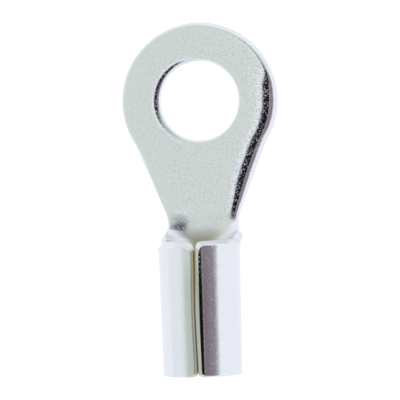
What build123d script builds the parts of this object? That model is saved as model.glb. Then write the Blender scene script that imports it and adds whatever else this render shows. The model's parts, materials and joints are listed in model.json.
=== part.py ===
from build123d import *
from math import asin, atan2, cos, degrees, hypot, pi, radians, sin, tan
import os

os.makedirs("parts", exist_ok=True)

# Ring terminal, folded from one piece of plated copper sheet, sizes in millimetres
# The origin is the centre of the stud hole on the underside, +Z is up and +Y points to the ring's tip
# Distances along the terminal are measured from the hole's centre towards the barrel, down -Y

# Sheet
sheet = 0.8

# Ring and tongue
ring_d = 12.6
stud_hole_d = 6.4
side_inset = 0.15
ring_blend_r = 8.0
neck_width = 5.66
neck_distance = 9.45
neck_blend_r = 2.8
neck_straight = 0.008
rolled_edge_r = 0.45
hole_edge_r = 0.32
edge_land = 0.01

# Neck, where the flat sheet rolls up into the barrel
roll_length = 1.2
crease_share = 0.7
crease_spread = 0.05
crease_r = 0.5
crease_hold = 3
flank_angle = 78
flat_start = 0.1
neck_cuts = 5
flank_edge_r = 0.08

# Barrel
bore_d = 4.8
barrel_length = 10.65
mouth_bevel = 0.35
mouth_bevel_climb = 1.6
mouth_step = 0.02
flank_clear = 0.03
mouth_corner_r = 0.7
seam_gap_mouth = 0.15
seam_gap_rear = 0.06
seam_shoulder_r = 0.18
seam_shoulder_over = 0.01
rear_corner_r = 0.3
rear_edge_r = 0.12
wire_entry_chamfer = 0.2

# Worked out from the sizes above
neck_half = neck_width / 2
side_reach = ring_d / 2 - side_inset
side_lean = asin(side_reach / hypot(neck_half, neck_distance)) - atan2(neck_half, neck_distance)
roll_start = neck_distance + neck_blend_r * tan(side_lean / 2) + neck_straight
mouth_distance = roll_start + roll_length
axis_z = bore_d / 2 + sheet
outer_r = bore_d / 2 + sheet
mid_r = bore_d / 2 + sheet / 2
top_z = axis_z + outer_r
inner_z = top_z - sheet
rear_distance = mouth_distance + barrel_length
past = 1.0


def stretch_ends(stretches):
    """Place and heading on the mid-line at each end of the stretches, from the middle outwards."""
    x, z, heading = 0.0, sheet / 2, 0.0
    ends = [(x, z, heading)]
    for length, turn in stretches:
        half = radians(turn) / 2
        chord = length if turn == 0 else length * sin(half) / half
        x += chord * cos(heading + half)
        z += chord * sin(heading + half)
        heading += 2 * half
        ends.append((x, z, heading))
    return ends


def beside(end, off):
    """The point that lies off above the mid-line, square to it, at one of its ends."""
    x, z, heading = end
    return (x - off * sin(heading), z + off * cos(heading))


def sheet_side(ends, stretches, off, short):
    """One side of the sheet, a line or an arc for each stretch, stopping short of the cut edge."""
    side = []
    for start, end, (length, turn) in zip(ends, ends[1:], stretches):
        cut = short if end is ends[-1] else 0
        first = Vector(*beside(start, off))
        along = Vector(cos(start[2]), sin(start[2]))
        if turn == 0:
            side.append(Line(first, first + along * (length - cut)))
        else:
            radius = length / radians(turn) - off
            side.append(JernArc(first, along, radius, turn - degrees(cut / radius)))
    return side


def sheet_section(distance, stretches, edge_r):
    """The sheet cut across: stretches of (mid-line length, turn) and an edge rounded on its upper side."""
    ends = stretch_ends(stretches)
    under = sheet_side(ends, stretches, -sheet / 2, 0)
    upper = sheet_side(ends, stretches, sheet / 2, edge_r)
    cut_edge = Line(under[-1] @ 1, beside(ends[-1], sheet / 2 - edge_r))
    rounding = TangentArc(upper[-1] @ 1, cut_edge @ 1, tangent=upper[-1] % 1)
    half = under + [cut_edge, rounding] + upper
    lines = half + [line.mirror(Plane.YZ) for line in half]
    return Plane.XZ.offset(distance) * Face(Wire([edge for line in lines for edge in line.edges()]))


def turned(length, radius):
    """A stretch of this length bent to this radius."""
    return (length, degrees(length / radius))


def neck_section(share):
    """The cut at a share of the way through the neck, from the flat tongue (0) to the round barrel (1)."""
    distance = roll_start + share * (mouth_distance - roll_start)
    edge_stretch = rolled_edge_r + edge_land
    if share == 1:
        wrap = mid_r * radians(flank_angle)
        lengths = (flat_start, wrap - flat_start - edge_stretch, edge_stretch)
        return sheet_section(distance, [turned(length, mid_r) for length in lengths], flank_edge_r)
    lift = (1 - cos(min(share / crease_share, 1) * pi)) / 2
    turn = flank_angle * lift
    bend_r = crease_r + (mid_r - crease_r) * share**crease_hold
    bend = bend_r * radians(turn) if turn else flat_start
    bend_in = (bend_r + sheet / 2) * sin(radians(turn)) if turn else flat_start
    half_width = neck_half + (outer_r + crease_spread - neck_half) * lift
    flat = half_width - bend_in - edge_stretch * cos(radians(turn))
    edge_r = rolled_edge_r + (flank_edge_r - rolled_edge_r) * share
    return sheet_section(distance, [(flat, 0), (bend, turn), (edge_stretch, 0)], edge_r)


# Drawn line by line, so that every cut has the same edges for the loft to join
neck_sections = [neck_section(cut / neck_cuts) for cut in range(neck_cuts + 1)]

# Slanted front of the barrel's rim, which leaves the neck's flanks as it climbs
with BuildPart() as rim_cut:
    with BuildSketch(Plane.YZ) as rim_slant:
        with BuildLine():
            slant_start = inner_z - mouth_step * sheet / mouth_bevel
            Polyline(
                (-mouth_distance + past, slant_start),
                (-mouth_distance, slant_start),
                (-mouth_distance - mouth_step - 2 * mouth_bevel, top_z + sheet),
                (-mouth_distance + past, top_z + sheet),
                close=True,
            )
        make_face()
    revolve(axis=Axis((0, 0, axis_z), (0, 1, 0)), revolution_arc=360)
    flank_top = axis_z - bore_d / 2 * cos(radians(flank_angle)) + flank_clear
    with BuildSketch(Plane.YZ) as above_flank:
        with BuildLine():
            Polyline(
                (-mouth_distance + past, flank_top),
                (-mouth_distance, flank_top),
                (-mouth_distance - 2 * mouth_bevel, flank_top + 2 * mouth_bevel_climb),
                (-mouth_distance - 2 * mouth_bevel, top_z + past),
                (-mouth_distance + past, top_z + past),
                close=True,
            )
        make_face()
    extrude(amount=outer_r + past, both=True, mode=Mode.INTERSECT)

# Seam where the rolled edges meet, with rounded shoulders, a little wider at the mouth
with BuildPart() as seam_cut:
    narrowing = (seam_gap_mouth - seam_gap_rear) / 2 / barrel_length
    wall_x = seam_gap_mouth / 2 + narrowing * past
    shoulder_z = top_z - seam_shoulder_r + seam_shoulder_over
    with BuildSketch(Plane.XZ.offset(mouth_distance - past)) as half_gap:
        with BuildLine():
            shoulder = CenterArc((wall_x + seam_shoulder_r, shoulder_z), seam_shoulder_r, 90, 90)
            above = (shoulder @ 0) + (0, past)
            Polyline(shoulder @ 1, (wall_x, axis_z), (0, axis_z), (0, above.Y), above, shoulder @ 0)
        make_face()
    extrude(amount=barrel_length + 2 * past, dir=(-narrowing, -1, 0))
    mirror(about=Plane.YZ)

with BuildPart() as ring_terminal:
    # Flat ring and tongue, whose straight sides pass just inside the ring's edge
    with BuildSketch(Plane.XY) as outline:
        Circle(ring_d / 2)
        with BuildLine():
            side = Polyline(
                (0, -side_reach * sin(side_lean)),
                (side_reach * cos(side_lean), -side_reach * sin(side_lean)),
                (neck_half, -neck_distance),
                (neck_half, -roll_start),
                (0, -roll_start),
            )
            mirror(side, about=Plane.YZ)
        make_face()
        corners = outline.vertices().sort_by(Axis.Y)
        fillet(corners[2:4], neck_blend_r)
        corners = outline.vertices().sort_by(Axis.Y)
        fillet(corners[-2:], ring_blend_r)
    extrude(amount=sheet)
    with Locations((0, 0, sheet)):
        Hole(stud_hole_d / 2)
    # The top face's edges roll over where the die cut them, but not where the neck goes on
    top_face = ring_terminal.faces().sort_by(Axis.Z)[-1]
    fillet(top_face.inner_wires()[0].edges(), hole_edge_r)
    top_face = ring_terminal.faces().sort_by(Axis.Z)[-1]
    fillet(top_face.outer_wire().edges().sort_by(Axis.Y)[1:], rolled_edge_r)

    # Neck
    loft(sections=neck_sections)

    # Barrel, open along its seam
    with BuildSketch(Plane.XZ.offset(mouth_distance)) as barrel_section:
        with Locations((0, axis_z)):
            Circle(outer_r)
            Circle(bore_d / 2, mode=Mode.SUBTRACT)
    extrude(amount=barrel_length)

    # Rear rim, opened a little inside for the wire and eased outside
    rear_rim = ring_terminal.faces().sort_by(Axis.Y)[0].edges().sort_by(SortBy.RADIUS)
    chamfer(rear_rim[0], wire_entry_chamfer)
    rear_rim = ring_terminal.faces().sort_by(Axis.Y)[0].edges().sort_by(SortBy.RADIUS)
    fillet(rear_rim[-1], rear_edge_r)

    add(rim_cut.part, mode=Mode.SUBTRACT)

    add(seam_cut.part, mode=Mode.SUBTRACT)

    # Corners of the sheet, rounded where they meet at the mouth, square to its slanted front
    front = -mouth_distance + mouth_bevel / sheet * (inner_z - axis_z)
    with BuildSketch(Plane.XY.offset(axis_z)) as mouth_corners:
        with BuildLine():
            corner = CenterArc(
                (seam_gap_mouth / 2 + mouth_corner_r, front - mouth_corner_r), mouth_corner_r, 90, 90
            )
            Polyline(corner @ 0, (corner @ 0) + (0, past), (0, front + past))
            Line(corner @ 1, (0, front - mouth_corner_r))
            mirror(about=Plane.YZ)
        make_face()
    extrude(amount=outer_r + past, dir=(0, -mouth_bevel, sheet), mode=Mode.SUBTRACT)

    # The same corners at the rear, left almost square
    with BuildSketch(Plane.XY.offset(axis_z)) as rear_corners:
        with BuildLine():
            corner = CenterArc(
                (seam_gap_rear / 2 + rear_corner_r, -rear_distance + rear_corner_r), rear_corner_r, 180, 90
            )
            Polyline(corner @ 1, (corner @ 1) - (0, past), (0, -rear_distance - past))
            Line(corner @ 0, (0, -rear_distance + rear_corner_r))
            mirror(about=Plane.YZ)
        make_face()
    extrude(amount=outer_r + past, mode=Mode.SUBTRACT)

ring_terminal.part.label = "ring_terminal"
export_step(ring_terminal.part, "parts/ring_terminal.step")
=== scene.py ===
"""Ring terminal in tin plate: one stamped sheet with its barrel rolled up, on a pale studio floor.

Lengths are in metres. The blank is described by s, the distance across the sheet from its
middle, and u, the distance from the stud hole's centre down towards the barrel's rear end.
"""

import json
from math import acos, asin, atan2, cos, hypot, pi, radians, sin, sqrt, tan

import bmesh
import bpy
import numpy as np
from bpy.props import FloatProperty, FloatVectorProperty, PointerProperty
from mathutils import Matrix, Vector


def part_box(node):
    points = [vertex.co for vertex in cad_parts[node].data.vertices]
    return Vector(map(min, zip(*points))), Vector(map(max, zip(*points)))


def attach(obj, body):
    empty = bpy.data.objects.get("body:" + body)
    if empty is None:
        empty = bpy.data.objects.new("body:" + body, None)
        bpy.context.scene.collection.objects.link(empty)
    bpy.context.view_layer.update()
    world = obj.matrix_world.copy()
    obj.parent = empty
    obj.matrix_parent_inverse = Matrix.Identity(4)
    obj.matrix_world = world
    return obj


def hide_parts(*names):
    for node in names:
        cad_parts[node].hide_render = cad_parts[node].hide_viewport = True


bl_info = {
    "name": "Ring terminal",
    "version": (1, 0, 0),
    "blender": (4, 5, 0),
    "location": "3D View > Sidebar > Ring terminal",
    "description": "Stamps and rolls a ring terminal from one sheet and sets it on a studio floor",
    "category": "Add Mesh",
}

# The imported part, and the sizes that its record gives
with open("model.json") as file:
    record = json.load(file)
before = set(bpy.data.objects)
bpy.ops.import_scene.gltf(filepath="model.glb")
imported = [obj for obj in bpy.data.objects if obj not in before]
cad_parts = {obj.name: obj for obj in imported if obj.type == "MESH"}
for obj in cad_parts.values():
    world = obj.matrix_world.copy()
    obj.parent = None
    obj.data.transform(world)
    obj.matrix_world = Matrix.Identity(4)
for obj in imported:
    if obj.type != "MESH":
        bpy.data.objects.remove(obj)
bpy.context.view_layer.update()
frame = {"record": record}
CAD_LOW, CAD_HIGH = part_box("ring_terminal")
MOUNTS = {mount["name"]: mount for mount in frame["record"]["mounts"]}
MM = 0.001
HOLE_R = MOUNTS["stud_hole"]["dims"]["r_mm"] * MM
BORE_R = MOUNTS["wire_barrel"]["dims"]["r_mm"] * MM
BARREL_R = MOUNTS["wire_barrel"]["pos_m"][2]
SHEET = BARREL_R - BORE_R

# Distances of the mesh's rows from a cut edge, closer where the edge is rounded
BORDER = [step * MM for step in (0.0, 0.012, 0.05, 0.12, 0.22, 0.36, 0.55, 0.8, 1.1, 1.5)]
HOLE_BORDER = [step * MM for step in (0.0, 0.012, 0.04, 0.09, 0.16, 0.26, 0.42, 0.65)]
TONGUE_ROWS = [step * MM for step in (0, 0.6, 1.3, 2.0, 2.6, 3.1, 3.5, 3.85, 4.15)]
WING_BORDER = [step * MM for step in (0, 0.02, 0.07, 0.15, 0.26, 0.4, 0.58, 0.82, 1.15)]

# Numbers of rows and columns of the mesh's patches
RING_COUNT = 46
MIDDLE_COUNT = 10
GAP_COUNT = 3
BARREL_COUNT = 15
WING_COUNT = 18

# Steps in millimetres between the neck's rows, first and last, and where the last ones start
NECK_STEPS = (0.26, 0.085)
FINE_FROM = 10.6 * MM

# How near the flank's corner the neck's rows stop
LAST_STEP = 0.12 * MM

# Shares of the sheet's thickness at which the cut faces have a row
WALL_ROWS = (0.1, 0.5, 0.9)

# Steps along the section with which its bends are added up, and the softness of a bend's end
FOLD_STEPS = 80
END_SOFT = 0.2 * MM

# Where along the terminal one form gives way to the next, from and to
ROWS_TURN_SQUARE = (8.6 * MM, 10.0 * MM)
ROLL_NARROWS = (5.5 * MM, 9.5 * MM)
ROLL_ENDS = (9.3 * MM, 10.6 * MM)
DROOP_RISES = (-2.7 * MM, -0.2 * MM)
RIM_SHIFT_RISE = 2 * MM
RIM_SLANT_RISE = 1.2 * MM
RIM_SLANT_LEAD = 1.0 * MM
SEAM_CLOSES = (-0.1, 0.45)

# Where the left side gives way to the right one: across the tongue, and around the ring's top
TONGUE_MIDDLE = (-1.0 * MM, 1.0 * MM)
TOP_MIDDLE = (-0.2, 0.6)
TOP_STRETCH = 0.8
LEFT_ROLL = 0.55

# Distances from the seam's edge, in shoulder radii, between which its underside's edge is rounded
SHOULDER_REACH = (2.5, 1.5)

# Marks on the upper side, along the terminal or across the sheet: olive painted shade in the neck's
# middle and in the bore, and rubbing by the tool
NECK_PAINTED_SHADE = (9.9 * MM, 11.6 * MM)
NECK_PAINTED_SHADE_ACROSS = (0.4 * MM, 2.2 * MM)
NECK_PAINTED_SHADE_SHARE = 0.8
BORE_PAINTED_SHADE = (11.7 * MM, 12.4 * MM)
ROOF_PAINTED_SHADE_ACROSS = (7.8 * MM, 8.4 * MM)
BORE_PAINTED_SHADE_SHARE = 0.4
TONGUE_RUB = (8.6 * MM, 9.4 * MM)
TONGUE_RUB_SHARE = 0.5
NECK_RUB = (10.0 * MM, 10.8 * MM)
WALL_RUB_FROM = 10.6 * MM
# How far from the seam its cut faces carry the painted shade down
WALL_PAINTED_SHADE_REACH = 0.4 * MM

# Marks on the outside of the barrel, across the sheet, along it, or as distances from the seam:
# wear with darker painted shade beside the seam, olive painted shade on the seam's shoulders, and
# rubbed shoulders
WEAR_AND_SHADE_ACROSS = (7.6 * MM, 8.4 * MM)
WEAR_AND_SHADE_FULL_FROM = 15.0 * MM
WEAR_AND_SHADE_AT_MOUTH = 0.3
SEAM_PAINTED_SHADE = (0.26 * MM, 0.08 * MM)
SEAM_PAINTED_SHADE_FADES = (14.0 * MM, 17.0 * MM)
SEAM_PAINTED_SHADE_REAR = 0.5
LEFT_SHOULDER_RUB = (0.4 * MM, 0.28 * MM)
RIGHT_SHOULDER_RUB = (0.2 * MM, 0.1 * MM)

# Tin plate: noise scales as shares of the grain, its details, and the ranges it is read between
SPECK_SCALE = 0.8
CLOUD_SCALE = 0.06
SWELL_SCALE = 0.25
GRAIN_DETAIL = 2.0
SWELL_DETAIL = 1.0
NOISE_FALLOFF = 0.5
PIT_RANGE = (0.58, 0.76)
SPECK_RANGE = (0.5, 0.75)
CLOUD_RANGE = (0.3, 0.7)
CLOUD_ROUGHNESS = (0.85, 1.15)
# Metallic where the olive painted shade is full, then the range of the wear mask that flattens the
# bumps
PAINTED_SHADE_METAL = 0.3
SMOOTHING_WEAR = (0.55, 0.95)
WORN_BUMP = 0.1

# Elevations in degrees between which the pale cards and the cards near the camera stand, softly
PALE_CARDS = (-32, 32, 8)
NEAR_CARDS = (-19, 9, 3)
CARD_SPAN = 60.0

# Tolerances of the mesh, guards against dividing by nothing, and points measured at a time
MERGE = 0.0005 * MM
SLIVER = 0.0001 * MM
TINY = 1e-9
TINY_LENGTH = 1e-6
TINY_SQUARE = 1e-18
BLOCK = 500


def length(name, description, default):
    """A size in metres that a user can change."""
    return FloatProperty(
        name=name, description=description, default=default, unit="LENGTH", precision=5
    )


def share(name, description, default):
    """A plain number that a user can change."""
    return FloatProperty(name=name, description=description, default=default)


def angle(name, description, default):
    """An angle that a user can change, given in degrees."""
    return FloatProperty(
        name=name, description=description, default=radians(default), unit="ROTATION"
    )


def colour(name, description, default):
    """A colour that a user can change."""
    return FloatVectorProperty(
        name=name, description=description, default=default, size=4, subtype="COLOR"
    )


def lengths(name, description, defaults):
    """A size for each station, given in millimetres."""
    defaults = [value * MM for value in defaults]
    return FloatVectorProperty(
        name=name, description=description, default=defaults, size=len(defaults),
        unit="LENGTH", precision=5,
    )


def angles(name, description, defaults):
    """An angle for each station, given in degrees."""
    defaults = [radians(value) for value in defaults]
    return FloatVectorProperty(
        name=name, description=description, default=defaults, size=len(defaults), unit="ROTATION"
    )


def shares(name, description, defaults):
    """A plain number for each station."""
    return FloatVectorProperty(
        name=name, description=description, default=defaults, size=len(defaults)
    )


class BlankSizes(bpy.types.PropertyGroup):
    """Sizes of the flat blank."""

    ring_r: length("Ring radius", "Radius of the ring", CAD_HIGH.x)
    hole_r: length("Hole radius", "Radius of the stud hole", HOLE_R)
    side_inset: length(
        "Side inset", "How far the straight sides pass inside the ring's edge", 0.15 * MM)
    ring_blend_r: length("Ring blend", "Radius between the ring and a straight side", 8.0 * MM)
    neck_half: length("Half neck", "Half the width of the neck", 2.83 * MM)
    neck_u: length(
        "Neck distance", "Where the straight sides would meet the neck's width", 9.45 * MM)
    neck_blend_r: length("Neck blend", "Radius between a straight side and the neck", 2.8 * MM)
    strip_u: length(
        "Strip start", "Where the tongue's straight rows start below the ring", 5.0 * MM)
    rim_u: length("Rim distance", "Distance of the barrel's front rim", 11.3 * MM)
    rim_uneven: length(
        "Uneven rim", "How much further back the left half of the rim lies", 0.14 * MM)
    rim_slant: length("Rim slant", "Half the lean of the rim's cut face", 0.17 * MM)
    flank_r: length("Flank radius", "Radius between the neck and the rim", 1.15 * MM)
    flank_share: share(
        "Flank share", "Where on its radius the flank ends and the rim starts", 0.6)
    mouth_corner_r: length("Mouth corner", "Radius of the sheet's corners at the mouth", 0.7 * MM)
    rear_corner_r: length("Rear corner", "Radius of the sheet's corners at the rear", 0.42 * MM)
    rear_u: length("Rear distance", "Distance of the barrel's rear end", -CAD_LOW.y)


class FoldSizes(bpy.types.PropertyGroup):
    """Sizes of the fold. At each station the section is flat, bends up, stands and closes over."""

    sheet: length("Sheet", "Thickness of the sheet", SHEET)
    mid_r: length(
        "Middle radius", "Radius of the barrel at the middle of the sheet", BARREL_R - SHEET / 2)
    station: lengths(
        "Station", "Distances of the sections",
        (9.5, 9.8, 10.05, 10.3, 10.55, 10.8, 11.0, 11.2, 11.4, 11.6, 11.8))
    lift: angles(
        "Lift", "How far the bend turns the sheet up", (0, 4, 12, 26, 45, 64, 82, 90, 90, 90, 90))
    bend_start: lengths(
        "Bend start", "Where the bend starts",
        (1.2, 1.2, 1.2, 1.18, 1.12, 1.02, 0.92, 0.77, 0.5, 0.18, 0))
    bend_end: lengths(
        "Bend end", "Where the bend ends",
        (3.2, 3.3, 3.4, 3.5, 3.68, 3.82, 3.92, 4.02, 4.18, 4.34, 4.398))
    spread: shares(
        "Spread", "How much wider the sheet is",
        (1, 1, 1.0, 1.025, 1.065, 1.105, 1.105, 1.04, 1.018, 1.02, 1.018))
    bend_soft: length("Soft bend", "How softly the bend starts", 0.7 * MM)
    bulge_station: lengths(
        "Bulge station", "Distances along the left flank's bulge", (10.7, 11.1, 11.5, 11.9))
    bulge: shares(
        "Bulge", "How much wider the left flank is than the right one", (0, 0.05, 0.02, 0))
    dent_station: lengths(
        "Dent station", "Distances along the dent at the left of the neck", (8.3, 9.1, 9.9, 10.5))
    dent: shares("Dent", "How much of the dent there is", (0, 0.8, 1.0, 0))
    dent_lift: angle("Dent lift", "How much further the dent turns the sheet up", 11.0)
    dent_reach: length(
        "Dent reach", "How much nearer the middle the bend starts in the dent", 0.5 * MM)
    rear_width: share("Rear width", "Width of the barrel's rear end against its front", 0.962)
    rear_height: share("Rear height", "Height of the barrel's rear end against its front", 0.98)
    seam_front: length(
        "Seam at the mouth", "Gap between the rolled edges at the mouth", 0.02 * MM)
    seam_rear: length("Seam at the rear", "Gap between the rolled edges at the rear", 0.01 * MM)
    seam_wander: length("Seam wander", "How far the seam strays from the middle", -0.08 * MM)


class EdgeSizes(bpy.types.PropertyGroup):
    """How the sheet's cut edges are rounded."""

    roll_r: length("Roll radius", "Radius of the tongue's rolled edge", 0.42 * MM)
    roll_depth: length(
        "Roll depth", "How far the right side droops towards its edge", 0.215 * MM)
    roll_width: length(
        "Roll width", "How far from the right edge the sheet starts to droop", 1.42 * MM)
    roll_narrow: share(
        "Roll narrowing", "How much narrower the right side's roll is at the neck", 0.42)
    left_depth: length(
        "Left roll depth", "How far the left side droops towards its edge", 0.05 * MM)
    left_width: length(
        "Left roll width", "How far from the left edge the sheet starts to droop", 1.1 * MM)
    hole_r: length("Hole radius", "Radius of the hole's rolled edge", 0.12 * MM)
    hole_depth: length("Hole depth", "How far the sheet droops towards the hole", 0.1 * MM)
    hole_width: length(
        "Hole width", "How far from the hole the sheet starts to droop", 0.6 * MM)
    cut_r: length("Cut edge", "Radius of the neck's and barrel's edges", 0.1 * MM)
    seam_r: length("Seam edge", "Radius of the seam's shoulders", 0.24 * MM)
    burr_r: length("Burr edge", "Radius of the underside's edge", 0.03 * MM)


class TinFinish(bpy.types.PropertyGroup):
    """Colours and grain of the tin plate."""

    tin: colour("Tin", "Colour of the tin plate", (0.83, 0.85, 0.84, 1.0))
    tin_dull: colour("Dull tin", "Colour of the duller specks", (0.78, 0.80, 0.785, 1.0))
    # Olive colour painted as shade in the seam, the neck's middle and the bore
    stain: colour("Stain", "Olive stain in the seam and at the mouth", (0.45, 0.41, 0.22, 1.0))
    roughness: share("Roughness", "Roughness of the plate", 0.1)
    rubbed: share(
        "Rubbed roughness", "How much rougher the plate is where the tool rubbed it", 0.22)
    # Darker grey-green painted as shade beside the seam; its mask also flattens the bumps as wear
    worn: colour("Worn", "Dull plate beside the seam", (0.62, 0.64, 0.58, 1.0))
    grain: share("Grain", "Fine grains for each metre", 7500.0)
    pit_depth: length("Pit depth", "Depth of the fine pits", 0.0055 * MM)
    swell_depth: length("Swell depth", "Height of the plate's slight unevenness", 0.003 * MM)


class StudioSettings(bpy.types.PropertyGroup):
    """Camera, floor and the light that the plate reflects."""

    distance: length("Camera distance", "Camera's distance from the part", 195.0 * MM)
    lens: share("Lens", "Focal length in millimetres", 218.5)
    sensor: share("Sensor", "Width of the camera's sensor in millimetres", 36.0)
    aim_x: length("Aim across", "Where the camera points, across", -0.15 * MM)
    aim_y: length("Aim along", "Where the camera points, along", -7.99 * MM)
    lean: angle("Lean", "How far the camera leans to the right side", 8.0)
    turn: angle("Turn", "How far the part is turned in the picture", -1.78)
    white: colour("White card", "White tent, seen from the side", (0.97, 0.98, 1.08, 1.0))
    left: colour("Left card", "White card to the left of the camera", (0.88, 0.912, 0.98, 1.0))
    green: colour(
        "Pale card", "Pale grey card that the flat sheet reflects", (0.74, 0.79, 0.77, 1.0))
    dark: colour("Dark card", "Dark opening around the camera", (0.004, 0.004, 0.006, 1.0))
    mauve: colour("Mauve card", "Grey card to the right of the camera", (0.28, 0.21, 0.265, 1.0))
    blue: colour("Blue card", "Bluer part of the grey card", (0.27, 0.235, 0.305, 1.0))
    grey: colour("Grey card", "Paler grey above and beside the cards", (0.52, 0.56, 0.58, 1.0))
    floor: colour("Floor", "Colour of the floor", (0.5, 0.5, 0.5, 1.0))
    floor_glow: share("Floor glow", "How much the floor glows", 0.72)
    floor_size: length("Floor size", "Length of the floor's side", 2.0)
    floor_gap: length("Floor gap", "How far the floor lies below the part", 0.01 * MM)


def settings():
    """The scene's property groups."""
    return bpy.context.scene.ring_terminal


def ease(low, high, value):
    """0 below low, 1 above high, and smooth between."""
    part = min(max((value - low) / (high - low), 0.0), 1.0)
    return part * part * (3 - 2 * part)


def mix(first, second, part):
    """A value between two others."""
    return first + (second - first) * part


class Outline:
    """The blank's outline, worked out from its sizes."""

    def __init__(self, sizes, fold):
        self.sizes = sizes
        self.fold = fold
        side_reach = sizes.ring_r - sizes.side_inset
        neck_angle = atan2(sizes.neck_half, sizes.neck_u)
        self.lean = asin(side_reach / hypot(sizes.neck_half, sizes.neck_u)) - neck_angle
        out = Vector((cos(self.lean), -sin(self.lean)))
        down = Vector((-sin(self.lean), -cos(self.lean)))
        blend = sizes.ring_blend_r
        shift = sqrt((sizes.ring_r + blend) ** 2 - (side_reach + blend) ** 2)
        self.blend_centre = out * (side_reach + blend) + down * shift
        self.side_out = out
        self.side_down = down
        self.side_start = out * side_reach + down * shift
        arc_end = pi / 2 - atan2(self.blend_centre.y, self.blend_centre.x)
        self.arc_length = arc_end * sizes.ring_r
        self.blend_turn = acos((side_reach + blend) / (sizes.ring_r + blend))
        self.blend_length = blend * self.blend_turn
        self.blend_start = atan2(-self.blend_centre.y, -self.blend_centre.x)
        side_length = (self.side_start.y + sizes.strip_u) / cos(self.lean)
        self.total = self.arc_length + self.blend_length + side_length
        self.neck_straight = sizes.neck_u + sizes.neck_blend_r * tan(self.lean / 2)
        self.flank_u = sizes.rim_u - sizes.flank_r
        self.corner_u = self.flank_u + sizes.flank_r * sin(sizes.flank_share * pi / 2)
        self.corner_s = self.half_width(self.corner_u)
        self.seam_s = fold.mid_r * pi

    def at(self, distance):
        """A point on the right half of the ring's outline, and the way out of the sheet there."""
        if distance <= self.arc_length:
            around = distance / self.sizes.ring_r
            out = Vector((sin(around), cos(around)))
            return out * self.sizes.ring_r, out
        distance -= self.arc_length
        if distance <= self.blend_length:
            around = self.blend_start + self.blend_turn * distance / self.blend_length
            out = -Vector((cos(around), sin(around)))
            return self.blend_centre - out * self.sizes.ring_blend_r, out
        return self.side_start + self.side_down * (distance - self.blend_length), self.side_out

    def half_width(self, u):
        """Half the blank's width at a distance, down to where the rim starts."""
        sizes = self.sizes
        blend = sizes.neck_blend_r
        if u < self.neck_straight - blend * sin(self.lean):
            return sizes.neck_half + (sizes.neck_u - u) * tan(self.lean)
        if u < self.neck_straight:
            return sizes.neck_half + blend - sqrt(blend**2 - (self.neck_straight - u) ** 2)
        if u < self.flank_u:
            return sizes.neck_half
        flank = sizes.flank_r - sqrt(sizes.flank_r**2 - (u - self.flank_u) ** 2)
        return sizes.neck_half + flank

    def rim(self, s, side):
        """Distance of the barrel's front rim across the sheet."""
        sizes = self.sizes
        reach = sizes.neck_half + sizes.flank_r - s
        curve = sqrt(sizes.flank_r**2 - reach**2) if reach > 0 else sizes.flank_r
        uneven = sizes.rim_uneven if side < 0 else 0.0
        back = uneven * ease(self.corner_s, self.corner_s + RIM_SHIFT_RISE, s)
        return self.flank_u + curve + back

    def seam(self, u, side):
        """How far across the sheet its rolled edge lies, from the seam's gap and its wander."""
        fold = self.fold
        along = (u - self.sizes.rim_u) / (self.sizes.rear_u - self.sizes.rim_u)
        gap = mix(fold.seam_front, fold.seam_rear, ease(*SEAM_CLOSES, along))
        wander = fold.seam_wander * sin(pi * min(max(along, 0.0), 1.0)) ** 2
        return self.seam_s - gap / 2 - side * wander


def square_to_round(from_seam, from_end, radius):
    """Moves a point near a square corner so that the corner becomes round."""
    if from_seam >= radius or from_end >= radius:
        return from_seam, from_end
    across, along = radius - from_seam, radius - from_end
    reach = max(across, along) / hypot(across, along)
    return radius - across * reach, radius - along * reach


def to_middle(row):
    """A row's places with evenly spaced ones added from its last place to the middle."""
    last = row[-1]
    return row + [last * (1 - index / MIDDLE_COUNT) for index in range(1, MIDDLE_COUNT + 1)]


def ring_patches(outline, side):
    """Rows of points along the ring's outline, and from there to the hole."""
    sizes = outline.sizes
    border, inner_edge = [], []
    for index in range(RING_COUNT + 1):
        distance = outline.total * index / RING_COUNT
        point, out = outline.at(distance)
        level = ease(outline.arc_length, outline.total, distance)
        inward = (-out).lerp(Vector((-1, 0)), level).normalized()
        steps = [point + inward * (step / -inward.dot(out)) for step in BORDER]
        border.append([(place.x * side, -place.y) for place in steps])
        inner_edge.append(steps[-1])
    edge_s = outline.half_width(sizes.strip_u) - BORDER[-1] / cos(outline.lean)
    inner_edge += [Vector((s, -sizes.strip_u)) for s in to_middle([edge_s])[1:]]
    around_hole = []
    for point in inner_edge:
        way = point.normalized()
        places = [way * (sizes.hole_r + step) for step in HOLE_BORDER]
        last = places[-1]
        places += [last.lerp(point, step / GAP_COUNT) for step in range(1, GAP_COUNT + 1)]
        around_hole.append([(place.x * side, -place.y) for place in places])
    return [border, around_hole]


def tongue_patch(outline, side):
    """Rows of points across the tongue and the neck, down to the flank's corner."""
    rows = [outline.sizes.strip_u + step for step in TONGUE_ROWS]
    first = rows[-1]
    while rows[-1] < outline.corner_u - LAST_STEP:
        rows.append(rows[-1] + mix(*NECK_STEPS, ease(first, FINE_FROM, rows[-1])) * MM)
    rows[-1] = outline.corner_u
    patch = []
    for u in rows:
        square = 1 / mix(cos(outline.lean), 1.0, ease(*ROWS_TURN_SQUARE, u))
        half = outline.half_width(u)
        places = to_middle([half - step * square for step in BORDER])
        patch.append([(s * side, u) for s in places])
    return patch


def wing_place(outline, side, s, u, edge):
    """A point of the wing with the corners at both ends of the seam rounded."""
    sizes = outline.sizes
    behind = u - outline.rim(s, side)
    aside, back = square_to_round(edge - s, behind, sizes.mouth_corner_r)
    s, u = edge - aside, u + back - behind
    aside, back = square_to_round(edge - s, sizes.rear_u - u, sizes.rear_corner_r)
    return (edge - aside) * side, sizes.rear_u - back


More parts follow.
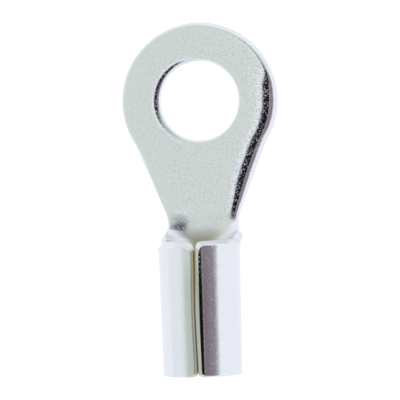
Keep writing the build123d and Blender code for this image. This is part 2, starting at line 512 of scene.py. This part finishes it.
def barrel_patches(outline, side):
    """Rows of points along the barrel: its floor, and the wing that rolls over to the seam."""
    corner_u, corner_s = outline.corner_u, outline.corner_s
    rows = [corner_u + step for step in BORDER]
    rear_rows = [outline.sizes.rear_u - step for step in reversed(BORDER)]
    front, rear = rows[-1], rear_rows[0]
    rows += [mix(front, rear, index / BARREL_COUNT) for index in range(1, BARREL_COUNT)]
    rows += rear_rows
    floor_s = to_middle([corner_s - step for step in BORDER])
    floor = [[(s * side, u) for s in floor_s] for u in rows]

    seam_start = outline.seam_s - BORDER[-1]
    wing_s = [corner_s + step for step in WING_BORDER]
    last = wing_s[-1]
    wing_s += [mix(last, seam_start, index / WING_COUNT) for index in range(1, WING_COUNT)]
    wing = []
    for row_u in rows:
        edge = outline.seam(row_u, side)
        shift = edge - outline.seam_s
        places = [mix(s, s + shift, ease(corner_s, seam_start, s)) for s in wing_s]
        places += [edge - step for step in reversed(BORDER)]
        ahead = 1 - ease(front, rear, row_u)
        wing.append([
            wing_place(outline, side, s, row_u + (outline.rim(s, side) - corner_u) * ahead, edge)
            for s in places
        ])
    return [floor, wing]


def stamp_blank(name, outline):
    """A flat mesh object of the blank, with s and u as its X and Y."""
    mesh = bpy.data.meshes.new(name)
    shape = bmesh.new()
    for side in (1, -1):
        patches = ring_patches(outline, side)
        patches += [tongue_patch(outline, side)] + barrel_patches(outline, side)
        for patch in patches:
            grid = [[shape.verts.new((s, u, 0.0)) for s, u in row] for row in patch]
            for row, after in zip(grid, grid[1:]):
                for index in range(len(row) - 1):
                    corners = (row[index], row[index + 1], after[index + 1], after[index])
                    shape.faces.new(corners)
    bmesh.ops.remove_doubles(shape, verts=shape.verts, dist=MERGE)
    bmesh.ops.dissolve_degenerate(shape, edges=shape.edges, dist=SLIVER)
    bmesh.ops.recalc_face_normals(shape, faces=shape.faces)
    if sum(face.normal.z for face in shape.faces) > 0:
        bmesh.ops.reverse_faces(shape, faces=shape.faces)
    shape.to_mesh(mesh)
    shape.free()
    piece = bpy.data.objects.new(name, mesh)
    bpy.context.scene.collection.objects.link(piece)
    return piece


def distances_to(points, segments):
    """Least distance of each point to a set of straight segments, all in the blank's plane."""
    start, end = segments[:, 0], segments[:, 1]
    run = end - start
    size = np.maximum((run**2).sum(1), TINY_SQUARE)
    least = np.empty(len(points))
    for first in range(0, len(points), BLOCK):
        block = points[first : first + BLOCK, None, :]
        along = np.clip(((block - start) * run).sum(2) / size, 0, 1)
        near = start + along[..., None] * run
        least[first : first + BLOCK] = np.sqrt(((block - near) ** 2).sum(2)).min(1)
    return least


def track(places, values, u):
    """A smooth curve through the stations' values, level beyond both ends."""
    places, values = np.array(places), np.array(values)
    slopes = np.gradient(values, places)
    slopes[[0, -1]] = 0
    u = np.clip(u, places[0], places[-1])
    index = np.clip(np.searchsorted(places, u) - 1, 0, len(places) - 2)
    step = places[index + 1] - places[index]
    part = (u - places[index]) / step
    rise = part * part * (3 - 2 * part)
    bow = part * (1 - part) * step
    bend = bow * ((1 - part) * slopes[index] - part * slopes[index + 1])
    return values[index] * (1 - rise) + values[index + 1] * rise + bend


def soft_ramp(distance, soft):
    """0 below 0 and the distance itself above, with the corner rounded over a width."""
    soft = np.maximum(soft, TINY)
    return np.where(distance > soft, distance, np.clip(distance + soft, 0, None) ** 2 / (4 * soft))


def folded(outline, s, u):
    """Where points of the blank's middle plane lie once the sheet is folded: x and z."""
    sizes, fold = outline.sizes, outline.fold
    side, s = np.where(s < 0, -1, 1), np.abs(s)
    start = track(fold.station, fold.bend_start, u)
    end = track(fold.station, fold.bend_end, u)
    lift = track(fold.station, fold.lift, u)
    dent = np.where(side < 0, track(fold.dent_station, fold.dent, u), 0.0)
    start = start - fold.dent_reach * dent
    lift = lift + fold.dent_lift * dent

    # The wing is stretched so that the bend, the straight wall and the roof end at the seam
    bend_r = (end - start) * 2 / pi
    roof_r = start + bend_r
    wall = np.maximum(2 * fold.mid_r - bend_r - roof_r, 0)
    rolled = lift * 2 / pi
    reach = (end + wall + roof_r * pi / 2 - outline.seam_s) * rolled
    s = s + reach * np.clip((s - outline.corner_s) / (outline.seam_s - outline.corner_s), 0, None)

    # The section's turn is added up from the middle outwards
    steps = (np.arange(FOLD_STEPS) + 0.5) / FOLD_STEPS
    along = s * steps[:, None]
    started = soft_ramp(along - start, np.minimum(start, fold.bend_soft))
    turn = lift / (end - start) * (started - soft_ramp(along - end, END_SOFT))
    turn = turn + rolled * soft_ramp(along - end - wall, END_SOFT) / roof_r
    x = s * np.cos(turn).mean(0)
    z = s * np.sin(turn).mean(0)

    back = np.clip((u - sizes.rim_u) / (sizes.rear_u - sizes.rim_u), 0, 1)
    bulge = np.where(side < 0, track(fold.bulge_station, fold.bulge, u), 0.0)
    spread = track(fold.station, fold.spread, u) + bulge
    x = x * spread * (1 + (fold.rear_width - 1) * back)
    return side * x, fold.sheet / 2 + z * (1 + (fold.rear_height - 1) * back)


def rounding(distance, radius):
    """How far a rounded edge lies below the face at a distance from the edge."""
    if distance >= radius:
        return 0.0
    return radius - sqrt(radius**2 - (radius - distance) ** 2)


def droop(distance, depth, width):
    """How far a sheet droops towards an edge that the die pulled down."""
    return depth * max(1 - distance / width, 0.0) ** 2


def right_share(s, u):
    """0 on the left side and 1 on the right one, smooth across the tongue and the ring's top."""
    if u < 0:
        return ease(*TOP_MIDDLE, s / hypot(s, u * TOP_STRETCH + TINY_LENGTH))
    return ease(*TONGUE_MIDDLE, s)


def edge_drops(outline, edges, s, u, from_edge, from_hole):
    """How far the upper side lies below its face, and the underside above its own."""
    tongue = 1 - ease(*ROLL_ENDS, u)
    right = right_share(s, u)
    narrow = 1 - edges.roll_narrow * ease(*ROLL_NARROWS, u)
    roll_r = mix(LEFT_ROLL, 1.0, right) * edges.roll_r
    down = rounding(from_edge, mix(edges.cut_r, roll_r * narrow, tongue))
    right_droop = droop(from_edge, edges.roll_depth * narrow, edges.roll_width * narrow)
    down += right_droop * tongue * right * ease(*DROOP_RISES, u)
    down += droop(from_edge, edges.left_depth, edges.left_width) * tongue * (1 - right)
    down += rounding(from_hole, edges.hole_r)
    down += droop(from_hole, edges.hole_depth, edges.hole_width)
    far, near = (outline.seam_s - reach * edges.seam_r for reach in SHOULDER_REACH)
    plain_r = mix(edges.burr_r, edges.cut_r, 1 - tongue)
    return down, rounding(from_edge, mix(plain_r, edges.seam_r, ease(far, near, abs(s))))


def slant(outline, s, u):
    """How far the rim's lean moves the upper side forwards, and the underside back."""
    if u <= outline.corner_u - RIM_SLANT_LEAD:
        return 0.0
    wing = ease(outline.corner_s, outline.corner_s + RIM_SLANT_RISE, s)
    fade = 1 - (u - outline.rim(max(s, outline.corner_s), 1)) / BORDER[-1]
    return outline.sizes.rim_slant * wing * min(max(fade, 0.0), 1.0)


def stain(s, u):
    """How much olive painted shade the upper side has: in the neck's middle near the mouth, and in
    the bore.
    """
    middle = 1 - ease(*NECK_PAINTED_SHADE_ACROSS, s)
    neck = ease(*NECK_PAINTED_SHADE, u) * middle * NECK_PAINTED_SHADE_SHARE
    roof = mix(BORE_PAINTED_SHADE_SHARE, 1.0, ease(*ROOF_PAINTED_SHADE_ACROSS, s))
    return max(neck, ease(*BORE_PAINTED_SHADE, u) * roof)


def seam_painted_shade(outline, s, u):
    """How much olive painted shade the seam's shoulders have."""
    far, near = (outline.seam_s - reach for reach in SEAM_PAINTED_SHADE)
    return ease(far, near, s) * mix(1.0, SEAM_PAINTED_SHADE_REAR, ease(*SEAM_PAINTED_SHADE_FADES, u))


def wear(outline, s, u):
    """How much wear and darker painted shade the outside has beside the seam, more so towards the
    rear.
    """
    along = ease(outline.sizes.rim_u, WEAR_AND_SHADE_FULL_FROM, u)
    return ease(*WEAR_AND_SHADE_ACROSS, s) * mix(WEAR_AND_SHADE_AT_MOUTH, 1.0, along)


def rub(u):
    """How much the tool rubbed the upper side, at the neck's bends and in the bore."""
    return mix(TONGUE_RUB_SHARE * ease(*TONGUE_RUB, u), 1.0, ease(*NECK_RUB, u))


def seam_rub(outline, s):
    """How much the seam's shoulders are rubbed, the left one further from the edge."""
    reaches = LEFT_SHOULDER_RUB if s < 0 else RIGHT_SHOULDER_RUB
    far, near = (outline.seam_s - reach for reach in reaches)
    return ease(far, near, abs(s))


def edge_distances(shape, flat, sizes):
    """Distances of the blank's points from its outline and from the hole."""
    outer = []
    for edge in shape.edges:
        if edge.is_boundary:
            ends = [(vert.co.x, vert.co.y) for vert in edge.verts]
            if max(hypot(*end) for end in ends) >= sizes.hole_r + BORDER[1]:
                outer.append(ends)
    from_hole = np.maximum(np.hypot(flat[:, 0], flat[:, 1]) - sizes.hole_r, 0)
    return distances_to(flat, np.array(outer)), from_hole


def fold_sheet(piece, outline, edges):
    """Folds the flat blank, gives it its thickness and rounds its edges."""
    fold = outline.fold
    mesh = piece.data
    shape = bmesh.new()
    shape.from_mesh(mesh)
    shape.verts.ensure_lookup_table()
    flat = np.array([(vert.co.x, vert.co.y) for vert in shape.verts])
    from_edge, from_hole = edge_distances(shape, flat, outline.sizes)

    across, height = folded(outline, flat[:, 0], flat[:, 1])
    for vert, u, x, z in zip(shape.verts, flat[:, 1], across, height):
        vert.co = (x, -u, z)
    shape.normal_update()
    half = fold.sheet / 2
    tops, unders = [], []
    for vert, (s, u), edge_gap, hole_gap in zip(shape.verts, flat, from_edge, from_hole):
        down, up = edge_drops(outline, edges, s, u, edge_gap, hole_gap)
        lean = Vector((0, slant(outline, abs(s), u), 0))
        tops.append(vert.co + vert.normal * (half - down) + lean)
        unders.append(vert.co - vert.normal * (half - up) - lean)

    # Marks are listed for the upper side, then for the underside, then for the cut faces
    count = len(flat)
    points = [tuple(point) for point in tops + unders]
    # Olive painted shade: the neck's middle and the bore on the upper side, the seam's shoulders on
    # the underside
    painted_shades = [stain(abs(s), u) for s, u in flat]
    painted_shades += [seam_painted_shade(outline, abs(s), u) for s, u in flat]
    # Beside the seam on the underside: wear, with painted shade in its darker colour
    worn = [0.0] * count + [wear(outline, abs(s), u) for s, u in flat]
    rubbed = [rub(u) for s, u in flat] + [seam_rub(outline, s) for s, u in flat]
    wall_rows = {}
    for vert in shape.verts:
        if not vert.is_boundary:
            continue
        index = vert.index
        wall_rows[index] = [index]
        at_seam = abs(flat[index][0]) > outline.seam_s - WALL_PAINTED_SHADE_REACH
        for part in WALL_ROWS:
            wall_rows[index].append(len(points))
            points.append(tuple(tops[index].lerp(unders[index], part)))
            # The seam's cut faces carry the upper side's painted shade, fading towards the
            # underside
            painted_shades.append(painted_shades[index] * (1 - part) if at_seam else 0.0)
            worn.append(0.0)
            rubbed.append(1.0 if -points[-1][1] > WALL_RUB_FROM else 0.0)
        wall_rows[index].append(index + count)

    faces = [[vert.index for vert in face.verts] for face in shape.faces]
    faces += [[index + count for index in reversed(face)] for face in faces]
    for edge in shape.edges:
        for loop in edge.link_loops if edge.is_boundary else ():
            first, second = wall_rows[loop.vert.index], wall_rows[loop.link_loop_next.vert.index]
            for row in range(len(WALL_ROWS) + 1):
                faces.append([second[row], first[row], first[row + 1], second[row + 1]])
    shape.free()
    mesh.clear_geometry()
    mesh.from_pydata(points, [], faces)
    for name, values in (("rubbed", rubbed), ("stain", painted_shades), ("wear", worn)):
        mesh.attributes.new(name, "FLOAT", "POINT").data.foreach_set("value", values)
    mesh.validate()
    mesh.update()


def only(piece):
    """Selects one piece and nothing else, as the next operator's subject."""
    bpy.ops.object.select_all(action="DESELECT")
    piece.select_set(True)
    bpy.context.view_layer.objects.active = piece


class Tree:
    """A node tree, with the few kinds of node that the plate and the tent share."""

    def __init__(self, owner):
        owner.use_nodes = True
        self.nodes = owner.node_tree.nodes
        self.links = owner.node_tree.links

    def feed(self, socket, value):
        """Sets a socket to a value, or links it to another node's output."""
        if isinstance(value, bpy.types.NodeSocket):
            self.links.new(value, socket)
        else:
            socket.default_value = value

    def ramp(self, value, from_range, to_range=(0.0, 1.0), smooth=False):
        """A value read between two limits and put between two others."""
        node = self.nodes.new("ShaderNodeMapRange")
        if smooth:
            node.interpolation_type = "SMOOTHSTEP"
        node.inputs["From Min"].default_value, node.inputs["From Max"].default_value = from_range
        node.inputs["To Min"].default_value, node.inputs["To Max"].default_value = to_range
        self.links.new(value, node.inputs["Value"])
        return node.outputs["Result"]

    def blend(self, below, above, part):
        """A colour between two others."""
        node = self.nodes.new("ShaderNodeMix")
        node.data_type = "RGBA"
        self.links.new(part, node.inputs["Factor"])
        self.feed(node.inputs["A"], below)
        self.feed(node.inputs["B"], above)
        return node.outputs["Result"]

    def calc(self, operation, *values):
        """A sum of one or two values."""
        node = self.nodes.new("ShaderNodeMath")
        node.operation = operation
        for socket, value in zip(node.inputs, values):
            self.feed(socket, value)
        return node.outputs["Value"]

    def choose(self, ray, usual, other, output):
        """Ends the tree in one shader, or another for one kind of ray."""
        path = self.nodes.new("ShaderNodeLightPath")
        mixed = self.nodes.new("ShaderNodeMixShader")
        self.links.new(path.outputs[ray], mixed.inputs["Fac"])
        self.links.new(usual, mixed.inputs[1])
        self.links.new(other, mixed.inputs[2])
        self.links.new(mixed.outputs["Shader"], self.nodes[output].inputs["Surface"])


def tin_plate(finish):
    """Satin tin plate: fine pits, duller specks, and olive painted shade in the seam and the mouth.
    """
    material = bpy.data.materials.new("tin_plate")
    tree = Tree(material)
    shader = tree.nodes["Principled BSDF"]
    place = tree.nodes.new("ShaderNodeTexCoord")

    def noise(scale, detail):
        """Noise on the part's own coordinates."""
        node = tree.nodes.new("ShaderNodeTexNoise")
        node.inputs["Scale"].default_value = scale
        node.inputs["Detail"].default_value = detail
        node.inputs["Roughness"].default_value = NOISE_FALLOFF
        tree.links.new(place.outputs["Object"], node.inputs["Vector"])
        return node.outputs["Fac"]

    def mark(name):
        """One of the mesh's marks."""
        node = tree.nodes.new("ShaderNodeAttribute")
        node.attribute_name = name
        return node.outputs["Fac"]

    pits = tree.ramp(noise(finish.grain, GRAIN_DETAIL), PIT_RANGE)
    specks = tree.ramp(noise(finish.grain * SPECK_SCALE, GRAIN_DETAIL), SPECK_RANGE)
    clouds = noise(finish.grain * CLOUD_SCALE, GRAIN_DETAIL)
    swell = noise(finish.grain * SWELL_SCALE, SWELL_DETAIL)

    shade = tree.blend(finish.tin, finish.tin_dull, specks)
    # Darker grey-green painted shade beside the seam, then olive painted shade in the seam, the
    # neck and the bore, where the plate is also less metallic
    shade = tree.blend(shade, finish.worn, mark("wear"))
    shade = tree.blend(shade, finish.stain, mark("stain"))
    tree.links.new(shade, shader.inputs["Base Color"])
    metal = tree.ramp(mark("stain"), (0, 1), (1.0, PAINTED_SHADE_METAL))
    tree.links.new(metal, shader.inputs["Metallic"])

    plain = tree.ramp(clouds, CLOUD_RANGE, [finish.roughness * part for part in CLOUD_ROUGHNESS])
    rubbed = tree.ramp(mark("rubbed"), (0, 1), (0.0, finish.rubbed))
    tree.links.new(tree.calc("ADD", plain, rubbed), shader.inputs["Roughness"])

    strength = tree.ramp(mark("wear"), SMOOTHING_WEAR, (1.0, WORN_BUMP))
    normal = None
    for height, depth in ((pits, finish.pit_depth), (swell, finish.swell_depth)):
        bump = tree.nodes.new("ShaderNodeBump")
        tree.links.new(strength, bump.inputs["Strength"])
        bump.inputs["Distance"].default_value = depth
        tree.links.new(height, bump.inputs["Height"])
        if normal:
            tree.links.new(normal, bump.inputs["Normal"])
        normal = bump.outputs["Normal"]
    tree.links.new(normal, shader.inputs["Normal"])
    return material


class TERMINAL_OT_sheet(bpy.types.Operator):
    """Stamp the blank, fold its neck and barrel, and plate it"""

    bl_idname = "ring_terminal.sheet"
    bl_label = "Terminal sheet"

    def execute(self, context):
        sizes = settings()
        outline = Outline(sizes.blank, sizes.fold)
        piece = stamp_blank("tinned_terminal", outline)
        fold_sheet(piece, outline, sizes.edges)
        only(piece)
        levels = piece.modifiers.new("smooth", "SUBSURF")
        levels.levels = levels.render_levels = 1
        bpy.ops.object.modifier_apply(modifier=levels.name)
        bpy.ops.object.shade_smooth()
        piece.data.materials.append(tin_plate(sizes.finish))
        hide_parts("ring_terminal")
        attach(piece, "root")
        return {"FINISHED"}


def studio_world(studio, camera_turn):
    """A white tent with cards around the camera, by direction as seen along the camera's axis."""
    world = bpy.data.worlds.new("studio")
    bpy.context.scene.world = world
    tree = Tree(world)
    background = tree.nodes["Background"]
    place = tree.nodes.new("ShaderNodeTexCoord")

    def along(direction):
        """How much of the view's direction runs along another one."""
        node = tree.nodes.new("ShaderNodeVectorMath")
        node.operation = "DOT_PRODUCT"
        node.inputs[1].default_value = direction
        tree.links.new(place.outputs["Generated"], node.inputs[0])
        return node.outputs["Value"]

    right = along(camera_turn @ Vector((1, 0, 0)))
    ahead = along(camera_turn @ Vector((0, 0, 1)))
    above = along(Vector((0, 1, 0)))
    across = tree.calc("DEGREES", tree.calc("ARCTAN2", right, ahead))
    height = tree.calc("DEGREES", tree.calc("ARCSINE", above))

    def by_angle(stops):
        """Cards side by side, each stop a direction across in degrees and a colour."""
        node = tree.nodes.new("ShaderNodeValToRGB")
        elements = node.color_ramp.elements
        for index, (where, shade) in enumerate(stops):
            spot = (where + CARD_SPAN) / (2 * CARD_SPAN)
            stop = elements[index] if index < 2 else elements.new(spot)
            stop.position = spot
            stop.color = shade
        part = tree.calc("DIVIDE", tree.calc("ADD", across, CARD_SPAN), 2 * CARD_SPAN)
        tree.links.new(part, node.inputs["Fac"])
        return node.outputs["Color"]

    def between(low, high, soft):
        """1 between two elevations and 0 beyond them, with soft edges."""
        rise = tree.ramp(height, (low - soft, low + soft), smooth=True)
        fall = tree.ramp(height, (high + soft, high - soft), smooth=True)
        return tree.calc("MULTIPLY", rise, fall)

    pale = by_angle([
        (-54, studio.left), (-46, studio.green), (-8, studio.green), (-2, studio.grey),
        (8, studio.grey), (16, studio.green), (32, studio.green), (50, studio.white),
    ])
    cards = by_angle([
        (-54, studio.left), (-46, studio.green), (-14.5, studio.green), (-12.5, studio.white),
        (-9, studio.white), (-7.8, studio.dark), (6.2, studio.dark), (6.9, studio.white),
        (7.1, studio.white), (7.8, studio.mauve), (20, studio.mauve), (28, studio.blue),
        (35, studio.blue), (43, studio.grey), (52, studio.white),
    ])
    tent = tree.blend(studio.white, pale, between(*PALE_CARDS))
    tent = tree.blend(tent, cards, between(*NEAR_CARDS))
    tree.links.new(tent, background.inputs["Color"])

    plain = tree.nodes.new("ShaderNodeBackground")
    plain.inputs["Color"].default_value = (1, 1, 1, 1)
    shaders = background.outputs["Background"], plain.outputs["Background"]
    tree.choose("Is Camera Ray", *shaders, "World Output")


def floor_white(studio):
    """A white floor that glows a little and shows in the plate as the white tent does."""
    material = bpy.data.materials.new("floor_white")
    tree = Tree(material)
    shader = tree.nodes["Principled BSDF"]
    shader.inputs["Base Color"].default_value = studio.floor
    shader.inputs["Roughness"].default_value = 1.0
    shader.inputs["Specular IOR Level"].default_value = 0.0
    shader.inputs["Emission Color"].default_value = (1, 1, 1, 1)
    shader.inputs["Emission Strength"].default_value = studio.floor_glow
    plain = tree.nodes.new("ShaderNodeEmission")
    plain.inputs["Color"].default_value = studio.white
    shaders = shader.outputs["BSDF"], plain.outputs["Emission"]
    tree.choose("Is Glossy Ray", *shaders, "Material Output")
    return material


class TERMINAL_OT_stage(bpy.types.Operator):
    """Lay the floor, light the tent and set the camera"""

    bl_idname = "ring_terminal.stage"
    bl_label = "Studio"

    def execute(self, context):
        studio = settings().studio
        bpy.ops.object.select_all(action="DESELECT")
        bpy.ops.mesh.primitive_plane_add(size=studio.floor_size, location=(0, 0, -studio.floor_gap))
        floor = context.active_object
        floor.name = "floor"
        floor.data.materials.append(floor_white(studio))

        leaned = Matrix.Rotation(studio.lean, 3, "Y")
        turned = leaned @ Matrix.Rotation(studio.turn, 3, "Z")
        lens = bpy.data.cameras.new("camera")
        lens.lens = studio.lens
        lens.sensor_width = studio.sensor
        camera = bpy.data.objects.new("camera", lens)
        aim = Vector((studio.aim_x, studio.aim_y, SHEET))
        camera.location = aim + turned @ Vector((0, 0, studio.distance))
        camera.rotation_euler = turned.to_euler()
        context.scene.collection.objects.link(camera)
        context.scene.camera = camera
        studio_world(studio, leaned)
        context.scene.view_settings.view_transform = "Standard"
        return {"FINISHED"}


class TERMINAL_PT_panel(bpy.types.Panel):
    """The ring terminal's panel"""

    bl_label = "Ring terminal"
    bl_idname = "TERMINAL_PT_panel"
    bl_space_type = "VIEW_3D"
    bl_region_type = "UI"
    bl_category = "Ring terminal"

    def draw(self, context):
        layout = self.layout
        for group in ("blank", "fold", "edges", "finish", "studio"):
            box = layout.box()
            box.label(text=group.capitalize())
            owner = getattr(settings(), group)
            for name in owner.bl_rna.properties.keys():
                if name not in ("rna_type", "name"):
                    box.prop(owner, name)
        layout.operator(TERMINAL_OT_sheet.bl_idname)
        layout.operator(TERMINAL_OT_stage.bl_idname)


class TerminalSettings(bpy.types.PropertyGroup):
    """All the settings of the ring terminal."""

    blank: PointerProperty(type=BlankSizes)
    fold: PointerProperty(type=FoldSizes)
    edges: PointerProperty(type=EdgeSizes)
    finish: PointerProperty(type=TinFinish)
    studio: PointerProperty(type=StudioSettings)


CLASSES = (
    BlankSizes, FoldSizes, EdgeSizes, TinFinish, StudioSettings, TerminalSettings,
    TERMINAL_OT_sheet, TERMINAL_OT_stage, TERMINAL_PT_panel,
)


def register():
    """Adds the classes and the scene's settings."""
    for cls in CLASSES:
        bpy.utils.register_class(cls)
    bpy.types.Scene.ring_terminal = PointerProperty(type=TerminalSettings)


def unregister():
    """Takes the classes and the settings away."""
    del bpy.types.Scene.ring_terminal
    for cls in reversed(CLASSES):
        bpy.utils.unregister_class(cls)


def main():
    """Builds the terminal and its studio."""
    register()
    bpy.ops.ring_terminal.sheet()
    bpy.ops.ring_terminal.stage()
    bpy.context.view_layer.update()


if __name__ == "__main__":
    main()
